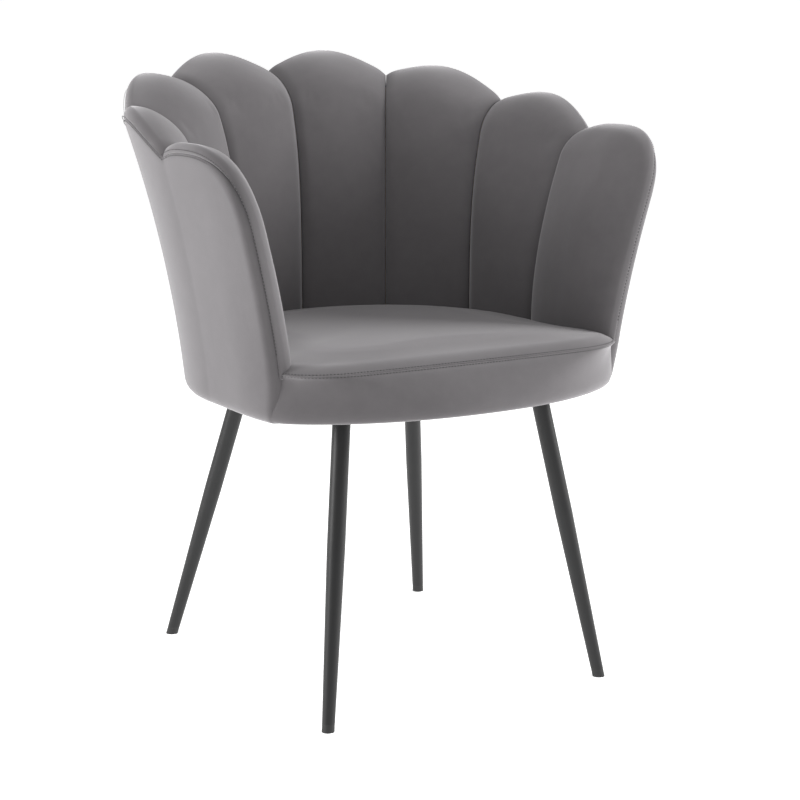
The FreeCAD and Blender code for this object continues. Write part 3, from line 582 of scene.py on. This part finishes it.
def round_petal_place(wall, number, side):
    """Surface of a round petal: up its inner face, over the crown and down to the rim seam."""
    sizes = wall.sizes
    width = sizes.petal_angle * sizes.seam_radius_back
    face_part = 0.74  # part of the grid up to the crest
    crown_part = 0.94  # part of it up to the rim seam, behind which the rest is tucked in
    even = 0.35  # columns crowd towards the seams; 1 would space them evenly
    crowding = 1.35  # rows crowd towards the crest
    fullness = 0.75  # under 1 squares the petal's cross-section
    tuck_in, tuck_down = 0.009, 0.001

    def place(across, up):
        share = 0.5 - 0.5 * math.cos(math.pi * across)
        share = mix(share, across, even)
        along = min(number + share, number + 1 - 1e-9) if share < 1 else number + 1
        top = wall.top(along) if share < 1 else VALLEYS[number + 1]
        drop = wall.drop(along)
        rim = top - drop
        inset = mix(sizes.crest_inset_back, sizes.crest_inset_arm, along / SEAMS)
        crest = wall.outer(rim) - inset
        gap = width * min(share, 1 - share)
        groove = wall.groove(gap)
        swell = math.sin(math.pi * share) ** fullness
        if up <= face_part:
            rise = 1 - (1 - up / face_part) ** crowding
            height = mix(sizes.petal_foot, top, rise)
            zone = ROLL_SHARE * (top - sizes.seat_height)
            rolled = 1 - (top - height) / zone
            radius = wall.face(along, height, rolled, crest, swell)
            lift = roll(rolled)
            return wall.point(along, radius + groove * (1 - lift), height - groove * lift, side)
        turn = clamp((up - face_part) / (crown_part - face_part))
        angle = turn * math.pi / 2
        height = rim + drop * math.cos(angle) - groove * math.cos(angle)
        radius = crest + inset * math.sin(angle) - groove * math.sin(angle) * (1 - turn ** 4)
        radius -= SEAM_DIP * turn ** 8
        tuck = clamp((up - crown_part) / (1 - crown_part))
        return wall.point(along, radius - tuck_in * tuck, height - tuck_down * tuck, side)

    return place


def arm_petal_place(wall, side):
    """Surface of the arm petal, which rolls over the crown and round the front edge."""
    sizes = wall.sizes
    low = sizes.petal_foot
    length = wall.arm_length
    face_part = 0.80  # part of the grid up to the crest
    crown_part = 0.96  # part of it up to the rim seam, behind which the rest is tucked in
    swell_reach = 0.085  # from the arm's seam to where the petal is at its fullest
    fullness = 0.6  # under 1 squares the petal's cross-section
    low_thinning = 0.3  # how much the petal thins to its front edge at the seat
    thinning_height = 0.14  # height above the seat where it thins in full
    thinning_power = 1.6  # how late along the arm it thins
    tuck_in = 0.006

    def edge_place(place):
        return wall.edge(place, low)[:2]

    def place(across, up):
        level = max(across, up) / face_part
        if level <= 1:
            a, b = across / face_part, up / face_part
            reach, height = patch(
                lambda s: (s * length, low), edge_place,
                lambda s: (0, mix(low, VALLEYS[SEAMS], s)), lambda s: edge_place(2 - s), a, b)
            near, turned, rim, upwards = wall.level(reach, height)
            zone = mix(ROLL_SHARE * (VALLEYS[SEAMS] - sizes.seat_height) / sizes.corner_height,
                       sizes.front_roll, turned)
            rolled = 1 - (1 - near) / zone
            back = mix(sizes.rim_drop_arm, sizes.front_drop, turned)
            out = mix(sizes.crest_inset_arm, sizes.front_half, turned)
            crest = wall.outer(rim - upwards * back) - sizes.front_wrap * turned - out
            swell = (1 - (1 - clamp(reach / swell_reach)) ** 2) ** fullness
            thinned = mix(low_thinning, 1, clamp((height - sizes.seat_height) / thinning_height))
            forward = clamp((reach - sizes.arm_straight) / sizes.arm_curve)
            swell *= 1 - thinned * forward ** thinning_power
            radius = wall.face(SEAMS + reach / length, height, rolled, crest, swell)
            groove = wall.groove(reach)
            lift = roll(rolled) * (1 - turned)
            return wall.point(SEAMS + reach / length, radius + groove * (1 - lift),
                              height - groove * lift, side)
        spot = across / level / face_part, up / level / face_part
        where = spot[0] if spot[1] >= spot[0] else 2 - spot[1]
        over = (level - 1) * face_part
        turn = clamp(over / (crown_part - face_part))
        reach, radius, height = wall.seam(where, low, turn)
        groove = wall.groove(reach) * (1 - turn ** 4)
        angle = turn * math.pi / 2
        height -= groove * math.cos(angle)
        radius -= groove * math.sin(angle) + SEAM_DIP * turn ** 8
        tuck = clamp((over + face_part - crown_part) / (1 - crown_part))
        return wall.point(SEAMS + reach / length, radius - tuck_in * tuck, height, side)

    return place


def petal_slack(number):
    """How freely the fabric of a petal may swell: not at its seams or round its crown."""
    seam_part = 0.2  # parts of the grid over which the fabric comes loose
    foot_part = 0.1
    crest, crest_part = (0.74, 0.2) if number < SEAMS else (0.72, 0.3)

    def slack(across, up):
        if number < SEAMS:
            gap = min(across, 1 - across)
            far = up
        else:
            gap = across
            far = max(across, up)
        return clamp(gap / seam_part) * clamp((crest - far) / crest_part) * clamp(up / foot_part)

    return slack


class CHAIR_OT_petals(Operator):
    """Build the eight padded petals of the scalloped back and the arms"""
    bl_idname = "chair.petals"
    bl_label = "Petals"

    def execute(self, context):
        sizes = context.scene.chair_sizes
        wall = Wall(sizes)
        middle_height = 0.56
        for word, side in (("left", -1), ("right", 1)):
            for number in range(SEAMS + 1):
                name = f"velvet_petal_{word}_{number + 1}"
                if number < SEAMS:
                    columns = sizes.petal_columns
                    place = round_petal_place(wall, number, side)
                else:
                    columns = sizes.petal_rows
                    place = arm_petal_place(wall, side)
                piece = mapped_grid(name, columns, sizes.petal_rows, place, petal_slack(number))
                turn_outwards(piece, wall.point(number + 0.5, sizes.low_radius, middle_height,
                                                side))
                settle(piece, sizes)
                thicken(piece, sizes.skin)
                dress(piece, material("grey_velvet"))
                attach(piece, "root")
                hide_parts(f"petal_pad_{word}_{number + 1}",
                            f"petal_cover_{word}_{number + 1}")
        return {"FINISHED"}


def nearest(line, x, y):
    """Distance from a place to a line of points, and the value that the line carries there."""
    best = None
    for (x0, y0, v0), (x1, y1, v1) in zip(line, line[1:]):
        across, up = x1 - x0, y1 - y0
        share = clamp(((x - x0) * across + (y - y0) * up) / (across ** 2 + up ** 2))
        gap = math.hypot(x0 + share * across - x, y0 + share * up - y)
        if best is None or gap < best[0]:
            best = gap, mix(v0, v1, share)
    return best


class CHAIR_OT_outer_cover(Operator):
    """Stretch the plain outer cover round the back and the arms"""
    bl_idname = "chair.outer_cover"
    bl_label = "Outer Cover"

    def execute(self, context):
        sizes = context.scene.chair_sizes
        wall = Wall(sizes)
        low = sizes.cover_bottom
        length = wall.arm_length
        back_columns = 60
        arm_columns = 34
        tuck_cells = 2  # behind the rim seam
        half = back_columns + arm_columns + tuck_cells
        rows = 46
        hem_rows = 3
        rim_steps = 150
        foot_pull = 0.012  # how far the front edge is drawn back at its foot
        foot_height = 0.06  # below the seat's seam, where it is drawn back in full
        wrap_width = 0.012  # from the rim seam to where the cover begins to turn in
        dip_width = 0.003
        rim_lip = 0.007  # fabric tucked in behind the rim seam
        band_lip = 0.022  # and behind the front band
        lip_change = 0.008  # height over which the one becomes the other

        def rim_seam(place):
            reach, height = wall.seam(place, low, 1)[::2]
            late = clamp((sizes.seam_height - height) / foot_height)
            return reach - foot_pull * late ** 1.5 * wall.edge(place, low)[3], height

        rim_places = [2 * index / rim_steps for index in range(rim_steps + 1)]
        rim = [(*rim_seam(place), wall.edge(place, low)[3]) for place in rim_places]

        def place(across, up):
            column = (across - 0.5) * 2 * half
            side = -1 if column < 0 else 1
            column = abs(column)
            row = up * (rows + hem_rows + tuck_cells) - hem_rows
            share = clamp(row / rows)
            lip = rim_lip
            if column <= back_columns:
                along = SEAMS * column / back_columns
                top = wall.top(along) if along < SEAMS else VALLEYS[SEAMS]
                rim_height = top - wall.drop(along)
                height = mix(low, rim_height, share)
                radius = wall.outer(height)
                gap = rim_height - height
            else:
                part = clamp((column - back_columns) / arm_columns)
                reach, height = patch(
                    lambda s: (s * rim_seam(2)[0], low), rim_seam,
                    lambda s: (0, mix(low, VALLEYS[SEAMS] - sizes.rim_drop_arm, s)),
                    lambda s: rim_seam(2 - s), part, share)
                gap, turned = nearest(rim, reach, height)
                radius = wall.outer(height)
                radius -= sizes.front_wrap * turned * roll(1 - gap / wrap_width)
                lip = mix(rim_lip, band_lip,
                          turned * clamp((sizes.seat_height - height) / lip_change))
                along = SEAMS + reach / length
            radius -= SEAM_DIP * (1 - clamp(gap / dip_width)) ** 2
            radius -= lip * clamp(max(row - rows, column - half + tuck_cells) / tuck_cells)
            if row < 0:
                radius += row / hem_rows * sizes.hem
            return wall.point(along, radius, height, side)

        piece = mapped_grid("velvet_outer_cover", 2 * half, rows + hem_rows + tuck_cells,
                            place)
        turn_outwards(piece, Vector((0, sizes.tub_y, 0.5)))
        thicken(piece, sizes.skin)
        dress(piece, material("grey_velvet"))
        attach(piece, "root")
        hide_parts("outer_cover", "outer_foam")
        return {"FINISHED"}


def outline_reach(points, centre):
    """Distance from a centre to a closed outline, as a function of direction."""
    spots = sorted((math.atan2(y - centre[1], x - centre[0]),
                    math.hypot(x - centre[0], y - centre[1])) for x, y in points)
    (first, first_reach), (last, last_reach) = spots[0], spots[-1]
    spots = [(last - 2 * math.pi, last_reach), *spots, (first + 2 * math.pi, first_reach)]

    def reach(angle):
        after = next(index for index, spot in enumerate(spots) if spot[0] > angle)
        near, far = spots[after - 1], spots[after]
        return mix(near[1], far[1], (angle - near[0]) / (far[0] - near[0]))

    return reach


def on_disc(across, up):
    """A place of a square grid, moved onto a disc of radius 1."""
    x, y = 2 * across - 1, 2 * up - 1
    return x * math.sqrt(1 - y * y / 2), y * math.sqrt(1 - x * x / 2)


def disc_place(reach, centre, height):
    """Maps a square grid onto a closed outline.

    height takes the share of the way out, the whole way there and y.
    """
    def place(across, up):
        x, y = on_disc(across, up)
        share = math.hypot(x, y)
        angle = math.atan2(y, x)
        radius = reach(angle)
        spot = (centre[0] + share * radius * math.cos(angle),
                centre[1] + share * radius * math.sin(angle))
        return Vector((*spot, height(share, radius, spot[1])))

    return place


def both_sides(points):
    return [(sign * x, y) for x, y in points for sign in (1, -1) if x or sign > 0]


def seat_outline(sizes):
    front = [follow(FRONT_SEAM, index / 40) for index in range(41)]
    sides = [follow(SEAT_SIDE, index / 16) for index in range(1, 17)]
    radius = sizes.seam_radius_back
    back = [(radius * math.sin(math.radians(angle)),
             sizes.tub_y + radius * math.cos(math.radians(angle))) for angle in range(0, 91, 3)]
    return both_sides(front + sides + back)


def seat_surface(sizes):
    """Height of the seat's top: rounded at its edge and domed inside it."""
    back_edge, front_edge = 0.016, 0.026  # width of the rounded edge
    change_y, change_depth = -0.17, 0.05  # where the one begins to become the other
    dome_power = 2.4
    drop = sizes.seat_height + 0.001 - sizes.seam_height

    def height(share, radius, y):
        width = mix(back_edge, front_edge, clamp((change_y - y) / change_depth))
        edge = math.sin(clamp((1 - share) * radius / width) * math.pi / 2)
        return sizes.seam_height + drop * edge + sizes.seat_crown * (1 - share ** dome_power)

    return height


def seat_slack(across, up):
    """How freely the seat's fabric may swell: not at its seam."""
    sewn_from, loose_width = 0.97, 0.25
    return clamp((sewn_from - math.hypot(*on_disc(across, up))) / loose_width)


class CHAIR_OT_seat(Operator):
    """Build the top of the seat cushion"""
    bl_idname = "chair.seat"
    bl_label = "Seat"

    def execute(self, context):
        sizes = context.scene.chair_sizes
        reach = outline_reach(seat_outline(sizes), SEAT_CENTRE)
        place = disc_place(reach, SEAT_CENTRE, seat_surface(sizes))
        cells = 64
        piece = mapped_grid("velvet_seat_top", cells, cells, place, seat_slack)
        turn_outwards(piece, Vector((0, -0.05, 0.2)))
        settle(piece, sizes)
        thicken(piece, sizes.skin)
        dress(piece, material("grey_velvet"))
        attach(piece, "root")
        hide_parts("seat_foam", "seat_cover")
        return {"FINISHED"}


def band_foot(share):
    """Plan place of the front band's foot, share 0 in the middle and 1 at the arm."""
    end_x = 0.2480
    half_width, depth = 0.258, 0.1452
    middle_y = -0.145
    middle_power, end_power = 2.1, 2.45  # 2 would make it an ellipse
    x = mix(0, end_x, share)
    power = mix(middle_power, end_power, share ** 8)
    return x, middle_y - depth * (1 - (x / half_width) ** power) ** (1 / power)


def band_place(sizes):
    """Surface of the front band, from the seat's seam down and in under the seat."""
    turn_y = -0.12  # the foot turns in towards this place behind the band

    def place(across, up):
        share = 2 * across - 1
        side = -1 if share < 0 else 1
        share = math.sin(abs(share) * math.pi / 2)
        top = follow(FRONT_SEAM, share)
        foot = band_foot(share)
        out, down, under = follow(BAND_SECTION, up)
        height = mix(sizes.seam_height, BAND_LOW, down)
        inwards = Vector((-foot[0], turn_y - foot[1])).normalized() * under
        return Vector((side * (mix(top[0], foot[0], out) + inwards.x),
                       mix(top[1], foot[1], out) + inwards.y,
                       max(height, sizes.cover_bottom)))

    return place


class CHAIR_OT_front_band(Operator):
    """Build the band below the seat's front seam"""
    bl_idname = "chair.front_band"
    bl_label = "Front Band"

    def execute(self, context):
        sizes = context.scene.chair_sizes
        columns, rows = 110, 30
        piece = mapped_grid("velvet_front_band", columns, rows, band_place(sizes))
        turn_outwards(piece, Vector((0, -0.1, 0.41)))
        thicken(piece, sizes.skin)
        dress(piece, material("grey_velvet"))
        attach(piece, "root")
        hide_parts("front_band")
        return {"FINISHED"}


class CHAIR_OT_dust_sheet(Operator):
    """Close the underside with a thin woven sheet"""
    bl_idname = "chair.dust_sheet"
    bl_label = "Dust Sheet"

    def execute(self, context):
        sizes = context.scene.chair_sizes
        cells = 48
        inset = 0.021  # from the outer face, at the back
        front_inset, front_share = 0.022, 0.93  # back from the band's foot, and narrower
        side_places = (-0.10, -0.15)
        hem_share, hem_drop = 0.9, 0.0018  # the hem hangs below the sheet inside it
        clearance = 0.0007  # under the upholstery
        most_sag = 0.0012
        half = sizes.low_radius - inset
        back = [(half * math.sin(math.radians(angle)),
                 sizes.tub_y + half * math.cos(math.radians(angle))) for angle in range(0, 91, 3)]
        front = []
        for index in range(41):
            x, y = band_foot(index / 40)
            front.append((min(half, x * front_share), y + front_inset))
        sides = [(half, y) for y in side_places]
        reach = outline_reach(both_sides(back + front + sides), SEAT_CENTRE)

        def height(share, radius, y):
            low = sizes.cover_bottom - clearance
            hem = clamp((share - hem_share) / (1 - hem_share))
            return mix(low + hem_drop, low, hem) - most_sag * (1 - share ** 2)

        place = disc_place(reach, SEAT_CENTRE, height)
        piece = mapped_grid("woven_dust_sheet", cells, cells, place)
        turn_outwards(piece, Vector((0, -0.05, 0.5)))
        skin = piece.modifiers.new("skin", "SOLIDIFY")
        skin.thickness = 0.0004
        skin.offset = 0
        dress(piece, material("black_weave"))
        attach(piece, "root")
        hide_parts("dust_cover")
        return {"FINISHED"}


def spaced(points, pitch):
    """Places at even spacing along a line of points, each with its direction."""
    left = pitch / 2
    for start, stop in zip(points, points[1:]):
        step = stop - start
        length = step.length
        while length and left <= length:
            yield start + step * (left / length), step / length
            left += pitch
        left -= length


def stitch_rows(name, rows, sizes):
    """One small rounded stitch at each place along the rows."""
    mesh = bpy.data.meshes.new(name)
    work = bmesh.new()
    for row in rows:
        for spot, way in spaced(row, sizes.stitch_pitch):
            made = bmesh.ops.create_icosphere(work, subdivisions=1, radius=1)
            turn = way.to_track_quat("X", "Z")
            for vertex in made["verts"]:
                local = Vector((vertex.co.x * sizes.stitch_length / 2,
                                vertex.co.y * sizes.stitch_width / 2,
                                vertex.co.z * sizes.stitch_width / 2))
                vertex.co = spot + turn @ local
    work.to_mesh(mesh)
    work.free()
    piece = finished(name, mesh)
    dress(piece, material("grey_thread"))
    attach(piece, "root")
    return piece


class CHAIR_OT_stitches(Operator):
    """Sew two rows of stitches along the rim seam and the front seam of the seat"""
    bl_idname = "chair.stitches"
    bl_label = "Stitches"

    def execute(self, context):
        sizes = context.scene.chair_sizes
        wall = Wall(sizes)
        back_steps, arm_steps, seat_steps = 400, 300, 240
        last_place = 1.90  # on the arm's rim, just above the seat
        first_across = 0.035  # share of the band where the seat's stitches begin
        band_row = 0.072  # share down the band's section where their lower row runs
        seat_rise = 0.0003
        rows = []
        for side in (-1, 1):
            for offset in (sizes.stitch_offset, -sizes.stitch_offset):
                row = [wall.rim_point(SEAMS * index / back_steps, side, offset)
                       for index in range(back_steps)]
                row += [wall.arm_rim_point(last_place * index / arm_steps, sizes.petal_foot, side,
                                           offset) for index in range(1, arm_steps + 1)]
                rows.append(row)
        stitch_rows("rim_stitches", rows, sizes)
        reach = outline_reach(seat_outline(sizes), SEAT_CENTRE)
        surface = seat_surface(sizes)
        band = band_place(sizes)
        upper, lower = [], []
        for index in range(seat_steps + 1):
            across = mix(first_across, 1 - first_across, index / seat_steps)
            lower.append(band(across, band_row) + Vector((0, -THREAD_RISE, THREAD_RISE)))
            seam = band(across, 0)
            way = math.atan2(seam.y - SEAT_CENTRE[1], seam.x - SEAT_CENTRE[0])
            radius = reach(way)
            share = 1 - sizes.stitch_offset / radius
            spot = Vector((SEAT_CENTRE[0] + share * radius * math.cos(way),
                           SEAT_CENTRE[1] + share * radius * math.sin(way), 0))
            spot.z = surface(share, radius, spot.y) + seat_rise
            upper.append(spot)
        stitch_rows("seat_stitches", [upper, lower], sizes)
        return {"FINISHED"}


class CHAIR_OT_finishes(Operator):
    """Give the frame's hard parts their finishes"""
    bl_idname = "chair.finishes"
    bl_label = "Finishes"

    def execute(self, context):
        for name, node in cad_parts.items():
            for start, finish in HARD_PARTS.items():
                if name.startswith(start):
                    node.data.materials.clear()
                    node.data.materials.append(material(finish))
        return {"FINISHED"}


def soft_light(name, place, aim, width, watts):
    """A round lamp of some width, turned towards its aim."""
    data = bpy.data.lights.new(name, "AREA")
    data.shape = "DISK"
    data.size = width
    data.energy = watts
    light = bpy.data.objects.new(name, data)
    light.location = place
    light.rotation_euler = (Vector(aim) - Vector(place)).to_track_quat("-Z", "Y").to_euler()
    bpy.context.scene.collection.objects.link(light)


class CHAIR_OT_stage(Operator):
    """Set the floor, the light and the camera"""
    bl_idname = "chair.stage"
    bl_label = "Stage"

    def execute(self, context):
        look = context.scene.chair_look
        floor_size = 400  # wide enough that its edge doesn't show
        lens, sensor = 94.7, 36  # millimetres
        eye = (-1.3424, -2.3385, 0.8860)
        down, turned = math.radians(11.49), math.radians(-30.81)
        mesh = bpy.data.meshes.new("floor")
        work = bmesh.new()
        bmesh.ops.create_grid(work, x_segments=1, y_segments=1, size=floor_size)
        work.to_mesh(mesh)
        work.free()
        floor = finished("floor", mesh)
        mesh.materials.append(Finish("white_floor", Base_Color=(0.93, 0.93, 0.93, 1),
                                     Roughness=0.9, Specular_IOR_Level=0.1,
                                     Emission_Color=(1, 1, 1, 1),
                                     Emission_Strength=0.60).material)
        world = bpy.data.worlds.new("studio")
        world.use_nodes = True
        tree = world.node_tree
        sky = tree.nodes["Background"]
        sky.inputs["Color"].default_value = (1, 1, 1, 1)
        seen = add_node(tree, "ShaderNodeLightPath", {}, {}, "Is Camera Ray")
        tree.links.new((look.sky + (1 - look.sky) * seen).socket, sky.inputs["Strength"])
        context.scene.world = world
        soft_light("overhead", (-0.5, -0.5, 2.6), (0, 0, 0.5), 2.2, look.overhead)
        soft_light("right_side", (2.3, -1.1, 1.5), (0, 0, 0.55), 1.4, look.right)
        soft_light("left_side", (-2.5, 0.5, 1.05), (0, 0, 0.55), 1.1, look.left)
        data = bpy.data.cameras.new("camera")
        data.sensor_width = sensor
        data.lens = lens
        camera = bpy.data.objects.new("camera", data)
        camera.location = eye
        camera.rotation_euler = (math.pi / 2 - down, 0, turned)
        context.scene.collection.objects.link(camera)
        context.scene.camera = camera
        context.scene.view_settings.view_transform = "Standard"
        return {"FINISHED"}


class CHAIR_PT_panel(Panel):
    """Operators and sizes of the chair"""
    bl_idname = "CHAIR_PT_panel"
    bl_label = "Scallop Back Chair"
    bl_space_type = "VIEW_3D"
    bl_region_type = "UI"
    bl_category = "Chair"

    def draw(self, context):
        for operator in OPERATORS:
            self.layout.operator(operator.bl_idname)
        for group in (context.scene.chair_sizes, context.scene.chair_look):
            for name in group.__annotations__:
                self.layout.prop(group, name)


OPERATORS = (CHAIR_OT_petals, CHAIR_OT_outer_cover, CHAIR_OT_seat, CHAIR_OT_front_band,
             CHAIR_OT_dust_sheet, CHAIR_OT_stitches, CHAIR_OT_finishes, CHAIR_OT_stage)
CLASSES = (ChairSizes, ChairLook, *OPERATORS, CHAIR_PT_panel)


def register():
    for entry in CLASSES:
        bpy.utils.register_class(entry)
    bpy.types.Scene.chair_sizes = PointerProperty(type=ChairSizes)
    bpy.types.Scene.chair_look = PointerProperty(type=ChairLook)


def unregister():
    del bpy.types.Scene.chair_look
    del bpy.types.Scene.chair_sizes
    for entry in reversed(CLASSES):
        bpy.utils.unregister_class(entry)


def main():
    register()
    bpy.ops.chair.petals()
    bpy.ops.chair.outer_cover()
    bpy.ops.chair.seat()
    bpy.ops.chair.front_band()
    bpy.ops.chair.dust_sheet()
    bpy.ops.chair.stitches()
    bpy.ops.chair.finishes()
    bpy.ops.chair.stage()


if __name__ == "__main__":
    main()
